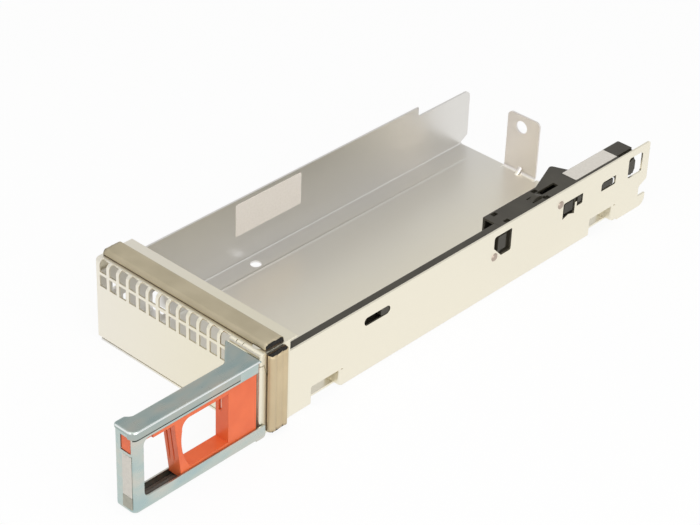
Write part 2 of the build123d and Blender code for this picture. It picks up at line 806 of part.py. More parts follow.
def latch_slide():
    """Trigger latch: window frame, cover plate at the hinge end and tail to the free end."""
    skin = face_in - latch_gap
    inner = rails_in + handle_sheet + latch_gap
    body = along_x(latch_grip_profile(), inner, skin)

    plate = block(skin - latch_plate, skin, front - latch_plate_start, front - latch_plate_end,
                  latch_low, latch_top)
    body += plate
    rib_end = front - latch_plate_start + latch_wall
    for z in (latch_floor_z - 1.2, latch_roof_z):
        body += block(skin - latch_plate - 1.4, skin, rib_end - 0.5, front - latch_plate_end - 4.5,
                      z, z + 1.2)

    groove = rectangle(inner + 1.6, inner + 2.6, latch_low - 1, latch_roof_z - 2)
    grip_front = front - latch_frame_end
    body -= along_y(groove, grip_front - 5, grip_front + 0.6)
    groove = rectangle(inner + 4.6, inner + 5.4, latch_low - 1, latch_roof_z - 2)
    body -= along_y(groove, grip_front - 5, grip_front + 0.6)

    x0, x1, z0, z1 = tail_window
    tail_in = x0 + tail_clearance
    tail_out = x1 - tail_clearance
    tail_end = free_end + tail_sunk
    tail_top = z1 - tail_clearance
    tail = block(tail_in, tail_out, tail_end, grip_front, latch_roof_z + 0.3, tail_top)
    tail += block(tail_in, tail_out, tail_end, tail_end + tail_block, z0 + tail_clearance, tail_top)
    body += tail
    body += block(tail_out - 0.5, skin, free_end + end_post_width + latch_travel + 0.5, grip_front,
                  latch_roof_z + 0.3, latch_top)

    window = block(x0 + 1.0, x0 + 2.8, front - latch_plate_start - 1,
                   front - latch_plate_start + latch_wall + 1, 24.6, 31.0)
    body -= window

    shoulder = spring_stop_y() + spring_length + 0.4
    body += block(spring_x() - 1.4, spring_x() + 1.4, shoulder, shoulder + 1.4,
                  latch_top - 0.5, top_flange_under - 0.3)
    return body


def slide_track():
    """Dark moulded track in the lower rail, with the rounded rib that the latch rides on."""
    x0 = rails_in + handle_sheet
    x1 = face_in
    low = low_flange_top
    middle = (x0 + x1) / 2
    section = outline(
        [(x0 + 0.2, low), (x1 - 0.2, low), (x1 - 0.2, low + 0.9), (middle + 1.8, low + 0.9),
         (middle + 1.5, low + 2.6), (middle - 1.5, low + 2.6), (middle - 1.8, low + 0.9),
         (x0 + 0.2, low + 0.9)],
        {4: 1.2, 5: 1.2},
    )
    return along_y(section, free_end + end_post_width - 2, front - rail_lip_end - 0.5)


def latch_spring():
    """Compression spring between the frame's stop and the latch's shoulder."""
    length = spring_length - 2 * spring_wire
    pitch = length / spring_turns
    path = Helix(pitch, length, spring_radius)
    section = Plane(origin=path @ 0, z_dir=path % 0) * RegularPolygon(spring_wire, 6)
    coil = sweep(section, path=path, is_frenet=True)
    place = Pos(spring_x(), spring_stop_y() + 0.2 + spring_wire,
                (latch_top + top_flange_under) / 2)
    return place * Rot(-90, 0, 0) * coil


# ---------------------------------------------------------------- nylon guide and rear housing
def light_pipe_rail():
    """Channel-section nylon guide along the near wall, clipped into the wall's long slot."""
    x0 = wall_in - rail_width
    start = front + rail_from_front
    end = front + housing_from_front - 0.1
    section = outline(
        [(x0, rail_low), (wall_in, rail_low), (wall_in, rail_low + rail_wall),
         (x0 + rail_wall, rail_low + rail_wall), (x0 + rail_wall, rail_top - rail_wall),
         (wall_in, rail_top - rail_wall), (wall_in, rail_top), (x0, rail_top)],
        {7: 0.8, 0: 0.8},
    )
    body = along_y(section, start, end)
    y0, y1, z0, z1 = from_front(rail_slot)
    boss = (y1 - rail_boss_length, y1 - 0.6, z0 + clip_clearance, z1 - clip_clearance)
    body += along_x(rectangle(*boss, 1.2), x0 + rail_wall - 0.2, wall_in + clip_reach)
    for y in (start + 40, start + 120):
        body += block(x0 + rail_wall - 0.2, wall_in, y, y + 1.2, rail_low, rail_top)
    return body


def light_pipes():
    """Two clear rods that carry the drive's lamps from the rear housing to the bezel."""
    x = wall_in - rail_width + rail_wall + light_pipe_radius + 0.1
    start = front + rail_from_front + 1
    end = start + 38.5
    rods = []
    for z in (rail_low + 4.0, rail_top - 4.0):
        rods.append(Pos(x, (start + end) / 2, z) * Cylinder(light_pipe_radius, end - start,
                                                            rotation=(90, 0, 0)))
    return rods


def housing_plan():
    """Plan of the rear housing, with the fin that flares towards the drive bay."""
    x0 = wall_in - housing_width
    y0 = front + housing_from_front
    y1 = y0 + housing_length
    return outline(
        [(x0, y0), (wall_in, y0), (wall_in, y1), (x0 + 0.7, y1), (x0 + 0.7, front + fin_end),
         (x0 - fin_reach, front + fin_tip), (x0, front + fin_start)],
        {5: fin_round, 2: 0.8, 3: 0.8},
    )


def rear_housing():
    """Open-fronted moulded housing, clipped into the near wall's slots."""
    plan = housing_plan()
    top = rail_top - cover_thickness
    body = along_z(plan, housing_low, top)
    x0 = wall_in - housing_width
    y0 = front + housing_from_front
    inner = offset(plan, -housing_wall, kind=Kind.INTERSECTION)
    inner &= rectangle(x0 - 20, wall_in - clip_wall, y0, y0 + housing_length)
    body -= along_z(inner, housing_low + housing_wall, top + 1)
    body -= block(x0 + housing_wall, wall_in - clip_wall, y0 - 1, y0 + housing_wall + 1,
                  housing_low + housing_wall, top + 1)

    step_y = front + housing_step
    body -= block(x0 - 20, wall_in + 1, step_y, y0 + housing_length + 1, 0, housing_step_low)
    body += block(x0 + 0.7, wall_in, step_y - housing_wall, y0 + housing_length,
                  housing_step_low, housing_step_low + housing_wall)
    notch_y = front + clip_slot_d[0] + 9.0
    body -= block(wall_in - 6.2, wall_in + 1, notch_y, notch_y + 8.5, housing_step_low - 1, 31.0)

    for slot, _ in clip_pads:
        body -= clip_pocket(slot)
    body -= clip_pocket(clip_slot_e)
    for slot, inset in clip_pads:
        body += clip_pad(slot, inset)
    return body + end_clip_pad()


def clip_pocket(slot):
    """Clearance moulded round a clip pad."""
    y0, y1, z0, z1 = from_front(slot)
    start = front + housing_from_front
    floor = housing_low if y0 < front + housing_step else housing_step_low
    return block(wall_in - clip_pocket_depth, wall_in + 1,
                 max(y0 + 0.1, start - 1),
                 min(y1 - 0.1, start + housing_length - housing_wall),
                 max(z0 + 0.1, floor + housing_wall),
                 min(z1 - 0.1, rail_top - cover_thickness - 1))


def clip_pad(slot, inset):
    """Clip pad of the housing that stands in one slot of the near wall."""
    y0, y1, z0, z1 = from_front(slot)
    pad = rectangle(y0 + inset[0], y1 - inset[1], z0 + inset[2], z1 - inset[3], 0.6)
    ahead = front + housing_from_front
    root = along_x(pad, wall_in - clip_pocket_depth - 0.2, wall_in + clip_reach)
    return root - block(0, wall_in - housing_wall, ahead - 20, ahead, 0, rail_top)


def end_clip_pad():
    """Six-sided pad that stands in the rearmost slot."""
    y0, _, _, z1 = from_front(clip_slot_e)
    y0 += clip_clearance
    y1 = front + housing_from_front + housing_length
    pad = outline(
        [(y0, housing_step_low + 1.2), (y0 + 2.4, housing_step_low + 0.2),
         (y1 - 1.0, housing_step_low + 1.4), (y1, housing_step_low + 3.0),
         (y1, z1 - 3.4), (y1 - 1.6, z1 - 1.0), (y0, z1 - 2.6)]
    )
    return along_x(pad, wall_in - clip_pocket_depth - 0.2, wall_in + clip_reach)


def housing_cover():
    """Snap-on cover: clip windows, long slot, sprung arch tongue and end notch."""
    body = along_z(housing_plan(), rail_top - cover_thickness, rail_top)
    x0 = wall_in - housing_width
    for y in (177.0, 208.9):
        for x in (x0 + 0.9, wall_in - 3.4):
            body -= block(x, x + 2.4, front + y, front + y + 3.6, rail_top - 3, rail_top + 1)
    slot_y = front + 211.0
    body -= block(x0 + 3.6, x0 + 7.0, slot_y, slot_y + 13.4, rail_top - 3, rail_top + 1)
    tongue_y = slot_y - 9.6
    for x in (x0 + 4.2, x0 + 8.3):
        body -= block(x, x + 0.8, tongue_y, slot_y + 0.1, rail_top - 3, rail_top + 1)
    arch = make_face([
        Line((tongue_y + 0.6, rail_top - 0.4), (slot_y - 0.4, rail_top - 0.4)),
        ThreePointArc((slot_y - 0.4, rail_top - 0.4), ((tongue_y + slot_y) / 2, rail_top + 1.3),
                      (tongue_y + 0.6, rail_top - 0.4)),
    ])
    body += along_x(arch, x0 + 5.2, x0 + 8.1)
    end_y = front + housing_from_front + housing_length
    body -= block(wall_in - 2.6, wall_in + 1, end_y - 13.0, end_y + 1, rail_top - 3, rail_top + 1)
    return body


# ---------------------------------------------------------------- bare labels
def wall_label():
    """Bare label on the far wall's inner face."""
    face = rectangle(front + 92.5, front + 140.0, 17.6, 36.6, 0.8)
    return along_x(face, -wall_in, -wall_in + label_thickness)


def housing_label():
    """Bare label on the housing's cover."""
    x0 = wall_in - housing_width + 0.9
    face = rectangle(x0, x0 + 9.4, front + 235.0, front + 269.6, 0.4)
    return along_z(face, rail_top, rail_top + label_thickness)


def handle_label():
    """Bare label on the handle's end face."""
    x0 = rails_in + 2.9
    return along_y(rectangle(x0, x0 + 5.9, 9.2, 31.8, 0.3), free_end - label_thickness, free_end)


def handle_patch():
    """Grey conductive patch under the label on the handle's end face."""
    x0 = rails_in + 2.7
    return along_y(rectangle(x0, x0 + 6.2, 2.4, 9.0, 0.3), free_end - label_thickness, free_end)


# ---------------------------------------------------------------- write every piece
def pieces():
    """Every node of the assembly, by name."""
    top_sleeve, top_core = top_gaskets()
    side_sleeve, side_core = side_gaskets()
    return {
        "tray": tray(),
        "front_bezel": front_bezel(),
        "top_gasket_sleeve": top_sleeve,
        "top_gasket_core": top_core,
        "side_gasket_sleeve": side_sleeve,
        "side_gasket_core": side_core,
        "hinge_bracket": hinge_bracket(),
        "bracket_rivets": bracket_rivets(),
        "hinge_pin": hinge_pin(),
        "pin_clips": pin_clips(),
        "hinge_bushes": hinge_bushes(),
        "handle_frame": handle_frame(),
        "handle_cap": handle_cap(),
        "slide_track": slide_track(),
        "latch_slide": latch_slide(),
        "latch_spring": latch_spring(),
        "handle_label": handle_label(),
        "handle_patch": handle_patch(),
        "light_pipe_rail": light_pipe_rail(),
        "light_pipes": light_pipes(),
        "rear_housing": rear_housing(),
        "housing_cover": housing_cover(),
        "housing_label": housing_label(),
        "wall_label": wall_label(),
    }


def main():
    """Write one STEP file per node."""
    os.makedirs("parts", exist_ok=True)
    for node, shape in pieces().items():
        solids = shape if isinstance(shape, list) else shape.solids()
        body = solids[0] if len(solids) == 1 else Compound(children=list(solids))
        export_step(body, f"parts/{node}.step")


main()
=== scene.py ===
"""Looks for an empty hot-swap carrier for a 3.5-inch hard disk drive.

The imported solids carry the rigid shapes.  This script gives each of them its real finish, winds
the return spring, makes the two cloth-over-foam gaskets as soft pieces of their own, and sets the
studio.
"""
import math

import bmesh
import bpy
from mathutils import Matrix, Vector, noise


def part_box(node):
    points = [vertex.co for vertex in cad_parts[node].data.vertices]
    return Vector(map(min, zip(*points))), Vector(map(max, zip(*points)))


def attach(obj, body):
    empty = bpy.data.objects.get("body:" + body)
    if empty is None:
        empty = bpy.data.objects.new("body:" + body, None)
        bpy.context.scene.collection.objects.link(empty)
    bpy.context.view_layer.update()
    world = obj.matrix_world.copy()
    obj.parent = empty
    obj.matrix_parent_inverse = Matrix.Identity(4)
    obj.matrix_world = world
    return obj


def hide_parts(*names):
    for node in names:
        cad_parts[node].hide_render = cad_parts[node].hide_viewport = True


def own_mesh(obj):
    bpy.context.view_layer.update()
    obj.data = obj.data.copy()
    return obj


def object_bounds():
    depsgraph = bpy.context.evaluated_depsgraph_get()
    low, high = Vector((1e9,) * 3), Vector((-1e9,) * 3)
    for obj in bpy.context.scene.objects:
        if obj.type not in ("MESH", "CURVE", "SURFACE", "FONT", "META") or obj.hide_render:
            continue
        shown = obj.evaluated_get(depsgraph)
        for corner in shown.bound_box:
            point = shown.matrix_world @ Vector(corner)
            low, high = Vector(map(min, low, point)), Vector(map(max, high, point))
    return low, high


bl_info = {
    "name": "Drive carrier looks",
    "version": (1, 0, 0),
    "blender": (4, 5, 0),
    "location": "View3D > Sidebar > Carrier",
    "description": "Finishes, spring, gaskets and studio for a hard disk drive carrier",
    "category": "Object",
}

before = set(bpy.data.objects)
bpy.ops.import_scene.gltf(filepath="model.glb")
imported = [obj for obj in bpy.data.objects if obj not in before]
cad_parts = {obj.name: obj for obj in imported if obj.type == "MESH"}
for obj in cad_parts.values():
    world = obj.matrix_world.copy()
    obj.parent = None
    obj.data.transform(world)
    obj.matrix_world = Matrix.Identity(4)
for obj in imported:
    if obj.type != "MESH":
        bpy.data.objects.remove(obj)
CAD_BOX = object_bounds()
MM = 0.001
X, Y, Z = range(3)
TOUCH = 1e-6          # m, within which two places are one
CUT_SLACK = 1e-7      # m, within which a cut takes a vertex as lying on it
ALONG = 0.9           # least share of an edge or a normal that lies along its axis
WHITE = (1, 1, 1, 1)

COIL_STEPS = 24       # mesh steps in one turn of the spring
WIRE_SIDES = 10

# Gaskets, in mm.
SLEEVE_ROUND = 2.1
SLEEVE_STRIPS = 12    # a count: strips that the sleeve's top is cut into lengthwise
SLEEVE_STEP = 2.5     # between its cross cuts
SLEEVE_FOOT = 0.3     # glued height that stays straight
SLEEVE_CROWN = 0.12   # how much lower its sides are than its middle
FLUTE_DEPTH = 0.5
FLUTE_WIDTH = 0.75
FRAY_LEAST = 0.45     # how far a cut end is drawn back at least, and how much more at most
FRAY_MORE = 0.9
CORE_ROUND = 1.6
CORE_SIDE_GAP = 0.05  # between the foam's sides and the box of its node
CORE_TOP_GAP = 0.35
CORE_SWELL = 1.3      # length of the foam's swollen end
CORE_INSET = 0.5      # ring left round an end's face
CORE_MARGIN = 0.12    # least distance from a swollen end to the cloth's outside
CORE_RAGGED = 0.5     # how much more that distance is at most
TORN_LEAST = 0.05     # how far a torn end stands back at least, and how much more at most
TORN_MORE = 1.1

# Unevenness of the gaskets, in waves in a metre.
WANDER_SLOW = 90
WANDER_QUICK = 260
FRAY_FINENESS = 700
RAG_FINENESS = 900
TORN_FINENESS = 1500

# Boxes in mm, axis to low and high end.  Painted shade on the plating, each box with its shade:
# the upright tab behind the tray's floor, toned down for the reflection that it shows, and the
# two dimples that stand out of the right wall, darkened to tone down their highlights.
WALL_FACE = 55.2
DIMPLE_ACROSS = (WALL_FACE + 0.05, 60.0)
DIMPLE_PAINTED_SHADE = "#C2B6B6"
PAINTED_SHADE_PLATING = (
    ({"X": (-45.0, 45.0), "Y": (132.5, 136.0), "Z": (1.5, 60.0)}, "#F7F6FF"),
    ({"X": DIMPLE_ACROSS, "Y": (29.0, 35.0), "Z": (20.4, 26.4)}, DIMPLE_PAINTED_SHADE),
    ({"X": DIMPLE_ACROSS, "Y": (81.2, 87.2), "Z": (28.6, 34.6)}, DIMPLE_PAINTED_SHADE),
)
# The handle cap's top bends, along its outer side and across its free end: painted highlight.
HIGHLIGHT_BENDS = (
    {"X": (57.0, 57.75), "Y": (-214.0, -136.5), "Z": (44.9, 45.6)},
    {"X": (46.0, 58.0), "Y": (-213.6, -212.9), "Z": (44.9, 45.6)},
)
# The handle frame's outer face, just under and just beyond the cap's lip: painted shadow of the
# lip.
LIP_SHADOW_BANDS = (
    {"X": (56.0, 60.0), "Y": (-214.0, -148.3), "Z": (40.5, 41.2)},
    {"X": (56.0, 60.0), "Y": (-149.0, -148.3), "Z": (41.2, 44.6)},
)

# Finishes.
# Painted reflection: the plated steel runs from its cool colour at the left wall to its warm one
# at this X.
PAINTED_DRIFT_END = 20.0      # mm, where the plated steel's drift across X has reached its warm colour
CLOUDING = 0.16       # share of that drift that clouds shift, half of it each way
# Painted shadow colour under the cap's lip.
LIP_SHADOW_TINT = "#5C6464"
# Painted highlight colour for the cap's top bends.
HIGHLIGHT_ZINC = "#EDF2F1"
# Painted shade: the cap's zinc is a darker copy of the frame's, to offset the light its top
# catches.
CAP_PAINTED_SHADE = 0.8       # brightness of the cap's zinc, as a share of the frame's
# Brown darkening along the gaskets' glued base.
BASE_DARKENING = "#7A6650"

# Studio: strengths are shares of a white that just reaches 1.
PAPER = (0.86, 0.86, 0.85, 1)
FLOOR_GLOW = 0.9      # share of the floor that shows as plain white
FLOOR_DROP = 0.02     # mm from the floor up to the object
ROOM_LIGHT = 0.55     # what lights matt surfaces
WALLS_LOW = (0.05, 1.0)   # height of the direction, and the strength that metal mirrors there
WALLS_HIGH = (0.75, 0.62)
LAMPS_AIM = (0, -0.02, 0.02)
LAMPS = (  # name, place in m, side in m, power in W
    ("overhead lamp", (0.25, -0.35, 1.1), 1.8, 10.0),
    ("right lamp", (1.15, -0.55, 0.55), 1.2, 6.0),
)
CAMERA_TURN = (41.95, 33.55, 2.29)  # degrees: azimuth, elevation and roll
CAMERA_TARGET = (0, -40, 12)        # mm
CAMERA_SHIFT = (17.37, 12.47)       # mm right and up from the target
CAMERA_DISTANCE = 1112.5            # mm
SENSOR_WIDTH = 36                   # mm
FOCAL_LENGTH = 114.71503            # mm
CLIP_END = 50                       # m


# ---------------------------------------------------------------- colours and nodes
def linear(code):
    """Turn an sRGB hex colour such as "#D0CBB4" into linear RGBA."""
    values = [int(code[i:i + 2], 16) / 255 for i in (1, 3, 5)]
    curve = [v / 12.92 if v <= 0.04045 else ((v + 0.055) / 1.055) ** 2.4 for v in values]
    return (*curve, 1.0)


def add_node(tree, kind, inputs=None, **settings):
    """Add a node.  inputs maps a socket's name or number to a value or another node's output."""
    node = tree.nodes.new(kind)
    for name, value in settings.items():
        setattr(node, name, value)
    for key, value in (inputs or {}).items():
        socket = node.inputs[key]
        if isinstance(value, bpy.types.NodeSocket):
            tree.links.new(value, socket)
        else:
            socket.default_value = value
    return node


def blank_tree(owner):
    """Emptied node tree of a material or world."""
    owner.use_nodes = True
    owner.node_tree.nodes.clear()
    return owner.node_tree


def new_material(name):
    """Empty node material, its tree and its Object coordinates."""
    material = bpy.data.materials.new(name)
    tree = blank_tree(material)
    place = add_node(tree, "ShaderNodeTexCoord").outputs["Object"]
    return material, tree, place


def finish_surface(tree, inputs, gloss=None, bump=None, edge=0.0):
    """Principled surface with the given inputs.

    gloss is a noise with the roughness at its usual ends, 0.3 and 0.7.  bump is a height with its
    strength and depth.  edge is the radius in mm that the part's sharp edges are broken to.
    """
    surface = add_node(tree, "ShaderNodeBsdfPrincipled", inputs)
    if gloss:
        field, low, high = gloss
        uneven = add_node(tree, "ShaderNodeMapRange",
                          {"Value": field, "From Min": 0.3, "From Max": 0.7, "To Min": low,
                           "To Max": high})
        tree.links.new(uneven.outputs["Result"], surface.inputs["Roughness"])
    if bump:
        height, strength, depth = bump
        relief = add_node(tree, "ShaderNodeBump",
                          {"Height": height, "Strength": strength, "Distance": depth})
        if edge:
            broken = add_node(tree, "ShaderNodeBevel", {"Radius": edge * MM}, samples=4)
            tree.links.new(broken.outputs["Normal"], relief.inputs["Normal"])
        tree.links.new(relief.outputs["Normal"], surface.inputs["Normal"])
    add_node(tree, "ShaderNodeOutputMaterial", {"Surface": surface.outputs["BSDF"]})


def noise_field(tree, place, size_mm, stretch=(1, 1, 1), detail=2.0):
    """Noise whose features are about size_mm across, longer along an axis stretched above 1."""
    scale = [1 / (size_mm * MM * s) for s in stretch]
    mapped = add_node(tree, "ShaderNodeMapping", {"Vector": place, "Scale": scale})
    field = add_node(tree, "ShaderNodeTexNoise",
                     {"Vector": mapped.outputs["Vector"], "Scale": 1.0, "Detail": detail,
                      "Roughness": 0.55})
    return field.outputs["Fac"]


def box_mask(tree, place, box):
    """Mask that is 1 inside a box given as axis name to low and high end in mm."""
    mask = None
    split = add_node(tree, "ShaderNodeSeparateXYZ", {"Vector": place})
    for axis, (low, high) in box.items():
        middle, half = (low + high) / 2 * MM, (high - low) / 2 * MM
        inside = add_node(tree, "ShaderNodeMath",
                          {0: split.outputs[axis], 1: middle, 2: half}, operation="COMPARE")
        if mask is None:
            mask = inside.outputs[0]
        else:
            mask = add_node(tree, "ShaderNodeMath", {0: mask, 1: inside.outputs[0]},
                            operation="MULTIPLY").outputs[0]
    return mask


def film_colour(tree, place, field, stops, darkening_boxes=()):
    """Colour that drifts with a field through its stops: positions with linear colours.

    Each darkening box comes with the sRGB shade that the colour in it is multiplied by: painted
    shade on the tray's plating, painted shadow under the handle cap's lip, and the darker base of
    the gasket cloth.
    """
    drift = add_node(tree, "ShaderNodeValToRGB", {"Fac": field})
    ramp = drift.color_ramp
    while len(ramp.elements) < len(stops):
        ramp.elements.new(0.5)
    for element, (position, colour) in zip(ramp.elements, stops):
        element.position = position
        element.color = colour
    colour = drift.outputs["Color"]
    for box, shade in darkening_boxes:
        darkened = add_node(tree, "ShaderNodeMix",
                           {0: box_mask(tree, place, box), 6: colour, 7: linear(shade)},
                           data_type="RGBA", blend_type="MULTIPLY")
        colour = darkened.outputs[2]
    return colour


# ---------------------------------------------------------------- materials
def plated_steel(name, cool, warm, rough, grain, dull=()):
    """Cold-rolled steel, bright nickel-zinc plated: soft reflections with a faint rolled grain.

    Its colour drifts from cool at the left wall to warm at the right one, as painted reflection
    of the room, with faint clouds of the plating's own film on top.  grain is the axis that the
    rolling lines
    run along: they are 0.15 mm apart, drawn 0.5 mm.  dull lists the boxes of painted shade, each
    with its shade.
    """
    material, tree, place = new_material(name)
    along = [1, 1, 1]
    along[grain] = 60
    lines = noise_field(tree, place, size_mm=0.5, stretch=along)
    cloud = noise_field(tree, place, size_mm=40)
    # Painted reflection: cool at the left wall, warm towards the right; only the clouds on it are
    # the plating's own.
    across = add_node(tree, "ShaderNodeSeparateXYZ", {"Vector": place}).outputs["X"]
    drift = add_node(tree, "ShaderNodeMapRange",
                     {"Value": across, "From Min": CAD_BOX[0][0], "From Max": PAINTED_DRIFT_END * MM,
                      "To Min": -CLOUDING / 2, "To Max": 1 - CLOUDING / 2})
    film = add_node(tree, "ShaderNodeMath",
                    {0: cloud, 1: CLOUDING, 2: drift.outputs["Result"]},
                    operation="MULTIPLY_ADD").outputs[0]
    # The painted shade on the tab and the dimples goes into the colour as darkened boxes.
    colour = film_colour(tree, place, film, [(0.0, cool), (1.0, warm)], dull)
    finish_surface(tree, {"Base Color": colour, "Metallic": 1.0},
                   gloss=(lines, rough - 0.03, rough + 0.03), bump=(lines, 0.10, 0.02 * MM),
                   edge=0.2)
    return material


def passivated_zinc(name, base, cool, warm, lip_shadows=(), painted_light=()):
    """Blue-passivated zinc on stamped steel: a soft satin with the film's faint colour drift.

    Two lists of boxes: along the frame's lapped edge they get a painted shadow of the cap's lip,
    and along the cap's top bends a painted highlight.
    """
    material, tree, place = new_material(name)
    film = noise_field(tree, place, size_mm=9, stretch=(1, 2.5, 1))
    # Painted shadow under the cap's lip goes into the colour as darkened boxes.
    colour = film_colour(tree, place, film, [(0.32, cool), (0.50, base), (0.68, warm)],
                         [(lip_shadow, LIP_SHADOW_TINT) for lip_shadow in lip_shadows])
    # Painted highlight along the cap's top bends.
    for bend in painted_light:
        highlighted = add_node(tree, "ShaderNodeMix",
                          {0: box_mask(tree, place, bend), 6: colour, 7: linear(HIGHLIGHT_ZINC)},
                          data_type="RGBA")
        colour = highlighted.outputs[2]
    spangle = noise_field(tree, place, size_mm=4, detail=0.0)
    finish_surface(tree, {"Base Color": colour, "Metallic": 1.0}, gloss=(spangle, 0.27, 0.32),
                   bump=(spangle, 0.03, 0.02 * MM), edge=0.3)
    return material


def moulded_plastic(name, base, dark, rough, grit_mm, relief):
    """Injection-moulded plastic with a spark-eroded tool finish of grit_mm."""
    material, tree, place = new_material(name)
    flow = noise_field(tree, place, size_mm=14)
    colour = film_colour(tree, place, flow, [(0.35, dark), (0.65, base)])
    grit = noise_field(tree, place, size_mm=grit_mm)
    finish_surface(tree, {"Base Color": colour, "IOR": 1.48},
                   gloss=(grit, rough - 0.04, rough + 0.04), bump=(grit, relief, 0.03 * MM),
                   edge=0.25)
    return material


def conductive_cloth(name, base, dark, foot):
    """Nickel-copper plated ripstop polyester: a dull metal sheen on a plain weave.

    Its threads are 0.12 mm apart; the weave is drawn at 0.5 mm so that it shows.  foot is the
    box along its glued edge, which is darkened brown.
    """
    material, tree, place = new_material(name)
    weave_scale = 2 * math.pi / 20 / (0.5 * MM)  # a wave texture runs through 20 radians a unit
    threads = []
    for direction in "XYZ":
        thread = add_node(tree, "ShaderNodeTexWave",
                          {"Vector": place, "Scale": weave_scale, "Distortion": 0.4,
                           "Detail": 1.0, "Detail Scale": 2.0},
                          wave_type="BANDS", bands_direction=direction)
        threads.append(thread.outputs["Fac"])
    cross = add_node(tree, "ShaderNodeMath", {0: threads[X], 1: threads[Y]},
                     operation="MULTIPLY")
    weave = add_node(tree, "ShaderNodeMath", {0: cross.outputs[0], 1: threads[Z]},
                     operation="ADD").outputs[0]
    crease = noise_field(tree, place, size_mm=16)
    colour = film_colour(tree, place, crease, [(0.30, dark), (0.65, base)],
                         [(foot, BASE_DARKENING)])
    finish_surface(tree, {"Base Color": colour, "Metallic": 0.55}, gloss=(crease, 0.44, 0.54),
                   bump=(weave, 0.15, 0.03 * MM))
    return material


def open_cell_foam(name, base, dark):
    """Black urethane foam, cut open: matt, with 0.4 mm cells."""
    material, tree, place = new_material(name)
    cells = add_node(tree, "ShaderNodeTexVoronoi",
                     {"Vector": place, "Scale": 1 / (0.4 * MM), "Randomness": 1.0})
    depth = cells.outputs["Distance"]
    colour = film_colour(tree, place, depth, [(0.1, dark), (0.7, base)])
    finish_surface(tree, {"Base Color": colour, "Roughness": 0.95},
                   bump=(depth, 0.6, 0.15 * MM))
    return material


def label_stock(name, base, dark):
    """Matt polyester label stock with faint fibre mottling."""
    material, tree, place = new_material(name)
    fibre = noise_field(tree, place, size_mm=1.2, detail=4.0)
    colour = film_colour(tree, place, fibre, [(0.3, dark), (0.6, base)])
    finish_surface(tree, {"Base Color": colour, "Roughness": 0.62, "IOR": 1.45},
                   bump=(fibre, 0.05, 0.02 * MM))
    return material


def turned_steel(name, base, rough):
    """Turned or drawn steel for pins, rings and the spring: fine machining marks."""
    material, tree, place = new_material(name)
    marks = noise_field(tree, place, size_mm=0.4, stretch=(8, 8, 1))
    finish_surface(tree, {"Base Color": base, "Metallic": 1.0},
                   gloss=(marks, rough - 0.05, rough + 0.08), bump=(marks, 0.08, 0.01 * MM))
    return material


def clear_acrylic(name):
    """Clear moulded acrylic: see-through, with a slight haze."""
    material, tree, place = new_material(name)
    haze = noise_field(tree, place, size_mm=1.5)
    finish_surface(tree, {"Base Color": linear("#F2F4F4"), "IOR": 1.49,
                          "Transmission Weight": 0.9}, gloss=(haze, 0.05, 0.12))
    return material


def assign(material, *nodes):
    """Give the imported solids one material."""
    for name in nodes:
        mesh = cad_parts[name].data
        mesh.materials.clear()
        mesh.materials.append(material)


# ---------------------------------------------------------------- settings
def colour_setting(name, description, code):
    """Colour property that starts at an sRGB hex colour."""
    return bpy.props.FloatVectorProperty(
        name=name, description=description, subtype="COLOR", size=4, min=0, max=1,
        default=linear(code))


def length_setting(name, description, default, low, high):
    """Length property, with its start and its limits given in mm."""
    return bpy.props.FloatProperty(
        name=name, description=description, unit="LENGTH", default=default * MM, min=low * MM,
        max=high * MM)


class CarrierColours(bpy.types.PropertyGroup):
    """Colours of the finishes."""

    # The left and right steel colours are painted reflection: one plating, drawn cool at the left
    # and warm at the right, as the room's reflections fall across it.
    steel_cool: colour_setting(
        "Tray steel, left", "Tray's plated steel at its left wall", "#E0DEDA")
    steel_warm: colour_setting(
        "Tray steel, right", "Tray's plated steel at its right wall", "#F2ECDA")
    bezel_cool: colour_setting(
        "Bezel steel, left", "Bezel's plated steel at its left side", "#EFEADD")
    bezel_warm: colour_setting(
        "Bezel steel, right", "Bezel's plated steel at its right side", "#EEE8D4")
    zinc: colour_setting("Handle zinc", "Zinc plate of the handle", "#BFCAC4")
    orange: colour_setting("Trigger", "Orange plastic of the trigger latch", "#E76B39")
    cloth: colour_setting("Top gasket cloth", "Conductive cloth of the top gasket", "#B9AE94")
    # Painted light: the side cloth is a brighter copy of the top cloth, lit by the lamp and the
    # floor that it faces.
    side_cloth: colour_setting(
        "Side gasket cloth", "Newer, brighter cloth of the side gasket", "#CDBB99")
    nylon: colour_setting("Black nylon", "Nylon of the guide and its housing", "#3B372D")


class CarrierSizes(bpy.types.PropertyGroup):
    """Sizes of the spring, the soft pieces and the studio."""

    spring_wire: length_setting(
        "Spring wire radius", "Half the return spring's wire", 0.28, 0.1, 0.4)
    spring_turns: bpy.props.IntProperty(
        name="Spring turns", description="Turns of the return spring", default=6, min=4, max=20)
    skin: length_setting("Cloth thickness", "Gasket cloth with its glue", 0.4, 0.1, 1)
    waviness: length_setting(
        "Cloth waviness", "How far the cloth wanders from straight", 0.12, 0, 1)
    backdrop: length_setting("Floor size", "Half width of the floor sheet", 6000, 1000, 20000)


# ---------------------------------------------------------------- mesh helpers
def new_object(name, shape, material):
    """Turn a bmesh into an object of the scene with one material."""
    mesh = bpy.data.meshes.new(name)
    shape.to_mesh(mesh)
    shape.free()
    mesh.materials.append(material)
    thing = bpy.data.objects.new(name, mesh)
    bpy.context.scene.collection.objects.link(thing)
    return thing


def piece(name, shape, material, body, *stands_for):
    """Make a finished piece from a bmesh and set it riding on its body."""
    bmesh.ops.recalc_face_normals(shape, faces=shape.faces)
    thing = new_object(name, shape, material)
    thing.data.shade_smooth()
    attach(thing, body)
    if stands_for:
        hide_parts(*stands_for)
    return thing


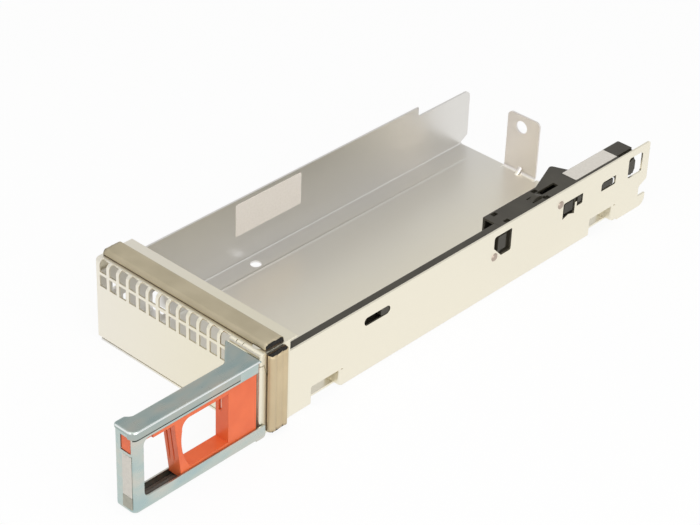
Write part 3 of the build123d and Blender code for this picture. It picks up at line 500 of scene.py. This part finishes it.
def box_shape(low, high):
    """bmesh cube between two corners."""
    shape = bmesh.new()
    bmesh.ops.create_cube(shape, size=1.0)
    size = high - low
    bmesh.ops.scale(shape, vec=size, verts=shape.verts)
    bmesh.ops.translate(shape, vec=(low + high) / 2, verts=shape.verts)
    return shape


def slice_along(shape, axis, places):
    """Cut the shape square to an axis at each place."""
    normal = Vector((0, 0, 0))
    normal[axis] = 1
    for place in places:
        point = normal * place
        bmesh.ops.bisect_plane(
            shape, geom=shape.verts[:] + shape.edges[:] + shape.faces[:], dist=CUT_SLACK,
            plane_co=point, plane_no=normal)


def long_edges(shape, axis, test):
    """Edges along an axis whose middle passes the test."""
    found = []
    for edge in shape.edges:
        run = edge.verts[1].co - edge.verts[0].co
        middle = (edge.verts[0].co + edge.verts[1].co) / 2
        if abs(run[axis]) > ALONG * run.length and test(middle):
            found.append(edge)
    return found


def end_faces(shape, axis):
    """Faces that look along an axis."""
    return [face for face in shape.faces if abs(face.normal[axis]) > ALONG]


def rough_share(place, fineness):
    """Smooth noise from 0 to 1 at a place, with about fineness waves in a metre."""
    return 0.5 + 0.5 * noise.noise(place * fineness)


def gasket_sleeve(node, length_axis, height_axis, flutes, waviness):
    """Cloth sleeve: a D-section tube, crowned and slightly wavy, open at both ends.

    flutes are the places of its long grooves, from -1 at one side to 1 at the other.
    """
    low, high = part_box(node)
    top = high[height_axis]
    shape = box_shape(low, high)
    outer = long_edges(shape, length_axis, lambda m: m[height_axis] > top - TOUCH)
    round_over = SLEEVE_ROUND * MM
    bmesh.ops.bevel(shape, geom=outer, offset=round_over, segments=6, profile=0.5,
                    affect="EDGES", material=-1)
    across = X + Y + Z - length_axis - height_axis
    width = high[across] - low[across]
    middle = (high[across] + low[across]) / 2
    flat = width - 2 * round_over
    slice_along(shape, across, [low[across] + round_over + flat * k / SLEEVE_STRIPS
                                for k in range(SLEEVE_STRIPS + 1)])
    run = high[length_axis] - low[length_axis]
    count = int(run / (SLEEVE_STEP * MM))
    slice_along(shape, length_axis,
                [low[length_axis] + run * k / count for k in range(1, count)])
    bmesh.ops.delete(shape, geom=end_faces(shape, length_axis), context="FACES")
    base = low[height_axis]
    for vert in shape.verts:
        for end, inward in ((low[length_axis], 1), (high[length_axis], -1)):
            if abs(vert.co[length_axis] - end) < TOUCH:
                fray = rough_share(vert.co, FRAY_FINENESS)
                vert.co[length_axis] += inward * (FRAY_LEAST + FRAY_MORE * fray) * MM
    for vert in shape.verts:
        height = vert.co[height_axis] - base
        if height < SLEEVE_FOOT * MM:
            continue
        share = min(height / (top - base), 1.0)
        across_part = (vert.co[across] - middle) / (width / 2)
        dip = SLEEVE_CROWN * MM * across_part ** 2
        for flute in flutes:
            gap = (across_part - flute) * width / 2
            dip += FLUTE_DEPTH * MM * math.exp(-(gap / (FLUTE_WIDTH * MM)) ** 2)
        wander = (0.6 * rough_share(vert.co, WANDER_SLOW)
                  + 0.4 * rough_share(vert.co, WANDER_QUICK))
        vert.co[height_axis] -= share * (dip + waviness * wander)
    return shape


def foam_core(node, cover, length_axis, height_axis):
    """Foam core: rounded block whose rough-cut ends swell out past the cloth that covers it."""
    low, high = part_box(node)
    for axis in range(3):
        gap = CORE_SIDE_GAP * MM if axis != length_axis else 0.0
        low[axis] += gap
        high[axis] -= gap + (CORE_TOP_GAP * MM if axis == height_axis else 0.0)
    top = high[height_axis]
    shape = box_shape(low, high)
    outer = long_edges(shape, length_axis, lambda m: m[height_axis] > top - TOUCH)
    bmesh.ops.bevel(shape, geom=outer, offset=CORE_ROUND * MM, segments=4, profile=0.5,
                    affect="EDGES", material=-1)
    swell = CORE_SWELL * MM
    slice_along(shape, length_axis, [low[length_axis] + swell, high[length_axis] - swell])
    for cap in end_faces(shape, length_axis):
        bmesh.ops.inset_individual(shape, faces=[cap], thickness=CORE_INSET * MM)
    bmesh.ops.triangulate(shape, faces=end_faces(shape, length_axis))
    edges = {edge for face in end_faces(shape, length_axis) for edge in face.edges}
    bmesh.ops.subdivide_edges(shape, edges=list(edges), cuts=3, use_grid_fill=True)
    outer_low, outer_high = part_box(cover)
    for vert in shape.verts:
        for end, outer_end, inward in ((low, outer_low, 1), (high, outer_high, -1)):
            if abs(vert.co[length_axis] - end[length_axis]) > TOUCH:
                continue
            for axis in range(3):
                if axis == length_axis:
                    continue
                share = (vert.co[axis] - low[axis]) / (high[axis] - low[axis])
                ragged = CORE_MARGIN + CORE_RAGGED * rough_share(vert.co, RAG_FINENESS)
                start = outer_low[axis] + ragged * MM
                stop = outer_high[axis] - ragged * MM
                vert.co[axis] = start + (stop - start) * share
            back = TORN_LEAST + TORN_MORE * rough_share(vert.co, TORN_FINENESS)
            vert.co[length_axis] = outer_end[length_axis] + inward * back * MM
    return shape


def coil_shape(node, wire, turns):
    """Helical spring along Y that fills the node's box; wire is the wire's radius."""
    low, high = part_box(node)
    centre = (low + high) / 2
    radius = (high.z - low.z) / 2 - wire
    run = high.y - low.y - 2 * wire
    steps = turns * COIL_STEPS
    shape = bmesh.new()
    ring = bmesh.ops.create_circle(shape, segments=WIRE_SIDES, radius=wire,
                                   cap_ends=False)["verts"]
    bmesh.ops.translate(shape, verts=ring,
                        vec=(centre.x + radius, low.y + wire, centre.z))
    bmesh.ops.spin(shape, geom=shape.verts[:] + shape.edges[:], cent=centre, axis=(0, 1, 0),
                   dvec=(0, run / steps, 0), angle=2 * math.pi * turns, steps=steps)
    bmesh.ops.holes_fill(shape, edges=shape.edges[:], sides=0)
    return shape


# ---------------------------------------------------------------- operators
class CARRIER_OT_sheet_metal(bpy.types.Operator):
    """Finish the tray, bezel and hinge bracket in plated steel"""

    bl_idname = "carrier.sheet_metal"
    bl_label = "Sheet metal"

    def execute(self, context):
        colours = context.scene.carrier_colours
        tray = plated_steel("plated_steel_tray", tuple(colours.steel_cool),
                            tuple(colours.steel_warm), rough=0.34, grain=Y, dull=PAINTED_SHADE_PLATING)
        bezel = plated_steel("plated_steel_bezel", tuple(colours.bezel_cool),
                             tuple(colours.bezel_warm), rough=0.38, grain=X)
        chromated = turned_steel("chromated_steel", linear("#8A7450"), rough=0.42)
        assign(tray, "tray")
        assign(bezel, "front_bezel")
        assign(chromated, "hinge_bracket")
        return {"FINISHED"}


class CARRIER_OT_fasteners(bpy.types.Operator):
    """Finish the rivets, hinge pin and retaining rings, and wind the return spring"""

    bl_idname = "carrier.fasteners"
    bl_label = "Fasteners and spring"

    def execute(self, context):
        turned = turned_steel("turned_steel", linear("#B9B9B4"), rough=0.30)
        drawn = turned_steel("spring_steel", linear("#8E8E8C"), rough=0.28)
        assign(turned, "bracket_rivets", "hinge_pin")
        assign(drawn, "pin_clips")

        sizes = context.scene.carrier_sizes
        shape = coil_shape("latch_spring", sizes.spring_wire, sizes.spring_turns)
        spring = piece("return_spring", shape, drawn, "handle", "latch_spring")
        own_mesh(spring)
        return {"FINISHED"}


class CARRIER_OT_handle(bpy.types.Operator):
    """Finish the ejector handle in blue-passivated zinc plate"""

    bl_idname = "carrier.handle"
    bl_label = "Handle"

    def execute(self, context):
        zinc = tuple(context.scene.carrier_colours.zinc)
        # The cap's zinc and its drift colours are a darker copy of the frame's: painted shade
        # against the light that its top catches.
        cap_painted_shade = tuple(CAP_PAINTED_SHADE * value for value in zinc[:3]) + (1.0,)
        cap = passivated_zinc("blue_zinc_plate", cap_painted_shade, linear("#9DB0AF"), linear("#B9B8AE"),
                              painted_light=HIGHLIGHT_BENDS)
        lapped = passivated_zinc("blue_zinc_lapped", zinc, linear("#AFC3C2"), linear("#CECCC2"),
                                 lip_shadows=LIP_SHADOW_BANDS)
        track = moulded_plastic("dark_acetal_track", linear("#5A534A"), linear("#4A443C"),
                                rough=0.24, grit_mm=0.3, relief=0.05)
        assign(cap, "handle_cap")
        assign(lapped, "handle_frame")
        assign(track, "slide_track")
        return {"FINISHED"}


class CARRIER_OT_trigger(bpy.types.Operator):
    """Finish the sliding trigger latch in orange acetal"""

    bl_idname = "carrier.trigger"
    bl_label = "Trigger"

    def execute(self, context):
        orange = tuple(context.scene.carrier_colours.orange)
        latch = moulded_plastic("orange_acetal", orange, linear("#E06333"), rough=0.36,
                                grit_mm=0.3, relief=0.05)
        assign(latch, "latch_slide")
        return {"FINISHED"}


class CARRIER_OT_nylon(bpy.types.Operator):
    """Finish the black nylon guide, housing, cover and bushes, and the clear light pipes"""

    bl_idname = "carrier.nylon"
    bl_label = "Guide and housing"

    def execute(self, context):
        base = tuple(context.scene.carrier_colours.nylon)
        nylon = moulded_plastic("black_nylon", base, linear("#322E25"), rough=0.50,
                                grit_mm=0.35, relief=0.18)
        assign(nylon, "light_pipe_rail", "rear_housing", "housing_cover", "hinge_bushes")
        assign(clear_acrylic("clear_acrylic"), "light_pipes")
        return {"FINISHED"}


class CARRIER_OT_gaskets(bpy.types.Operator):
    """Make the two cloth-over-foam gaskets"""

    bl_idname = "carrier.gaskets"
    bl_label = "Gaskets"

    def execute(self, context):
        sizes = context.scene.carrier_sizes
        colours = context.scene.carrier_colours
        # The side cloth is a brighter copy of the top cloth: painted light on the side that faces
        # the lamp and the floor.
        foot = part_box("top_gasket_sleeve")[0][Z] / MM
        painted_light = conductive_cloth("conductive_cloth_top", tuple(colours.cloth), linear("#ADA288"),
                                {"Z": (foot - 1.0, foot + 0.45)})
        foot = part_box("side_gasket_sleeve")[0][X] / MM
        lit_side_cloth = conductive_cloth("conductive_cloth_side", tuple(colours.side_cloth),
                                 linear("#C3B18F"), {"X": (foot - 1.0, foot + 0.6)})
        foam = open_cell_foam("black_foam", linear("#2B2824"), linear("#0B0A08"))
        for node, core, axis, up, flutes, cloth in (
            ("top_gasket_sleeve", "top_gasket_core", X, Z, (), painted_light),
            ("side_gasket_sleeve", "side_gasket_core", Z, X, (-1 / 3, 1 / 3), lit_side_cloth),
        ):
            shape = gasket_sleeve(node, axis, up, flutes, sizes.waviness)
            sleeve = piece(node.replace("sleeve", "cloth"), shape, cloth, "carrier", node)
            wall = sleeve.modifiers.new("cloth wall", "SOLIDIFY")
            wall.thickness = sizes.skin
            wall.offset = -1
            block = foam_core(core, node, axis, up)
            inside = piece(core.replace("core", "foam"), block, foam, "carrier", core)
        return {"FINISHED"}


class CARRIER_OT_labels(bpy.types.Operator):
    """Finish the bare labels and the grey patch on the handle's end"""

    bl_idname = "carrier.labels"
    bl_label = "Bare labels"

    def execute(self, context):
        for name, base, dark, nodes in (
            # The wall label's stock is lighter than the others' to make up for the shade it lies
            # in inside the tray: painted light.
            ("white_label", "#EDE6DE", "#E8E1D8", ("wall_label",)),
            ("greyer_label", "#D3CEC5", "#CBC6BD", ("housing_label", "handle_label")),
            ("grey_film", "#A9A79A", "#A09E91", ("handle_patch",)),
        ):
            assign(label_stock(name, linear(base), linear(dark)), *nodes)
        return {"FINISHED"}


class CARRIER_OT_stage(bpy.types.Operator):
    """Set the floor, the soft lights and the camera"""

    bl_idname = "carrier.stage"
    bl_label = "Studio"

    def execute(self, context):
        scene = context.scene
        scene.view_settings.view_transform = "Standard"
        lay_floor(scene.carrier_sizes.backdrop)
        light_studio(scene)
        place_camera(scene)
        return {"FINISHED"}


def lay_floor(reach):
    """Pale paper floor under the object: it keeps the shadow, and most of it shows as white."""
    shape = bmesh.new()
    bmesh.ops.create_grid(shape, x_segments=1, y_segments=1, size=reach)
    bmesh.ops.translate(shape, vec=(0, 0, CAD_BOX[0][Z] - FLOOR_DROP * MM), verts=shape.verts)
    material = bpy.data.materials.new("white_paper_floor")
    tree = blank_tree(material)
    paper = add_node(tree, "ShaderNodeBsdfDiffuse", {"Color": PAPER})
    glow = add_node(tree, "ShaderNodeEmission", {"Color": WHITE, "Strength": 1.0})
    rays = add_node(tree, "ShaderNodeLightPath")
    seen = add_node(tree, "ShaderNodeMath",
                    {0: rays.outputs["Is Camera Ray"], 1: rays.outputs["Is Glossy Ray"]},
                    operation="MAXIMUM")
    seen = add_node(tree, "ShaderNodeMath",
                    {0: seen.outputs[0], 1: rays.outputs["Is Transmission Ray"]},
                    operation="MAXIMUM")
    share = add_node(tree, "ShaderNodeMath", {0: seen.outputs[0], 1: FLOOR_GLOW},
                     operation="MULTIPLY")
    mixed = add_node(tree, "ShaderNodeMixShader",
                     {0: share.outputs[0], 1: paper.outputs["BSDF"],
                      2: glow.outputs["Emission"]})
    add_node(tree, "ShaderNodeOutputMaterial", {"Surface": mixed.outputs["Shader"]})
    floor = new_object("floor", shape, material)


def light_studio(scene):
    """Grey-white surround that shows as white, one broad lamp overhead and one at the right."""
    world = bpy.data.worlds.new("studio")
    scene.world = world
    tree = blank_tree(world)
    rays = add_node(tree, "ShaderNodeLightPath")
    direction = add_node(tree, "ShaderNodeTexCoord").outputs["Generated"]
    height = add_node(tree, "ShaderNodeSeparateXYZ", {"Vector": direction}).outputs["Z"]
    walls = add_node(tree, "ShaderNodeMapRange",
                     {"Value": height, "From Min": WALLS_LOW[0], "From Max": WALLS_HIGH[0],
                      "To Min": WALLS_LOW[1], "To Max": WALLS_HIGH[1]})
    room, mirrored, white = (
        add_node(tree, "ShaderNodeBackground", {"Color": WHITE, "Strength": strength})
        for strength in (ROOM_LIGHT, walls.outputs["Result"], 1.0))
    soft = add_node(tree, "ShaderNodeMixShader",
                    {0: rays.outputs["Is Glossy Ray"], 1: room.outputs["Background"],
                     2: mirrored.outputs["Background"]})
    seen = add_node(tree, "ShaderNodeMath",
                    {0: rays.outputs["Is Camera Ray"], 1: rays.outputs["Is Transmission Ray"]},
                    operation="MAXIMUM")
    mixed = add_node(tree, "ShaderNodeMixShader",
                     {0: seen.outputs[0], 1: soft.outputs["Shader"],
                      2: white.outputs["Background"]})
    add_node(tree, "ShaderNodeOutputWorld", {"Surface": mixed.outputs["Shader"]})

    for name, spot, side, power in LAMPS:
        lamp = bpy.data.lights.new(name, "AREA")
        lamp.shape = "SQUARE"
        lamp.size = side
        lamp.energy = power
        holder = bpy.data.objects.new(name, lamp)
        holder.location = spot
        beam = Vector(LAMPS_AIM) - Vector(spot)
        holder.rotation_euler = beam.to_track_quat("-Z", "Y").to_euler()
        scene.collection.objects.link(holder)


def place_camera(scene):
    """Camera above the front right corner, looking back and down at the carrier."""
    azimuth, elevation, roll = (math.radians(turn) for turn in CAMERA_TURN)
    back = Vector((math.sin(azimuth) * math.cos(elevation),
                   -math.cos(azimuth) * math.cos(elevation), math.sin(elevation)))
    level = Vector((math.cos(azimuth), math.sin(azimuth), 0))
    rise = back.cross(level)
    right = level * math.cos(roll) + rise * math.sin(roll)
    up = rise * math.cos(roll) - level * math.sin(roll)
    across, above = CAMERA_SHIFT
    place = (Vector(CAMERA_TARGET) * MM + right * across * MM + up * above * MM
             + back * CAMERA_DISTANCE * MM)
    lens = bpy.data.cameras.new("camera")
    lens.sensor_width = SENSOR_WIDTH
    lens.lens = FOCAL_LENGTH
    lens.clip_end = CLIP_END
    camera = bpy.data.objects.new("camera", lens)
    camera.matrix_world = Matrix((
        (right.x, up.x, back.x, place.x),
        (right.y, up.y, back.y, place.y),
        (right.z, up.z, back.z, place.z),
        (0, 0, 0, 1),
    ))
    scene.collection.objects.link(camera)
    bpy.context.scene.camera = camera


class CARRIER_PT_sidebar(bpy.types.Panel):
    """Lists the carrier's settings and operators."""

    bl_idname = "CARRIER_PT_sidebar"
    bl_label = "Drive carrier"
    bl_space_type = "VIEW_3D"
    bl_region_type = "UI"
    bl_category = "Carrier"

    def draw(self, context):
        layout = self.layout
        for group in (context.scene.carrier_colours, context.scene.carrier_sizes):
            for name in group.__annotations__:
                layout.prop(group, name)
        for operator in OPERATORS:
            layout.operator(operator.bl_idname)


OPERATORS = (
    CARRIER_OT_sheet_metal,
    CARRIER_OT_fasteners,
    CARRIER_OT_handle,
    CARRIER_OT_trigger,
    CARRIER_OT_nylon,
    CARRIER_OT_gaskets,
    CARRIER_OT_labels,
    CARRIER_OT_stage,
)
GROUPS = (CarrierColours, CarrierSizes)


def register():
    """Register the settings, operators and panel."""
    for item in (*GROUPS, *OPERATORS, CARRIER_PT_sidebar):
        bpy.utils.register_class(item)
    bpy.types.Scene.carrier_colours = bpy.props.PointerProperty(type=CarrierColours)
    bpy.types.Scene.carrier_sizes = bpy.props.PointerProperty(type=CarrierSizes)


def unregister():
    """Remove the settings, operators and panel."""
    del bpy.types.Scene.carrier_sizes
    del bpy.types.Scene.carrier_colours
    for item in reversed((*GROUPS, *OPERATORS, CARRIER_PT_sidebar)):
        bpy.utils.unregister_class(item)


def main():
    """Run every operator in order."""
    register()
    bpy.ops.carrier.sheet_metal()
    bpy.ops.carrier.fasteners()
    bpy.ops.carrier.handle()
    bpy.ops.carrier.trigger()
    bpy.ops.carrier.nylon()
    bpy.ops.carrier.gaskets()
    bpy.ops.carrier.labels()
    bpy.ops.carrier.stage()


if __name__ == "__main__":
    main()
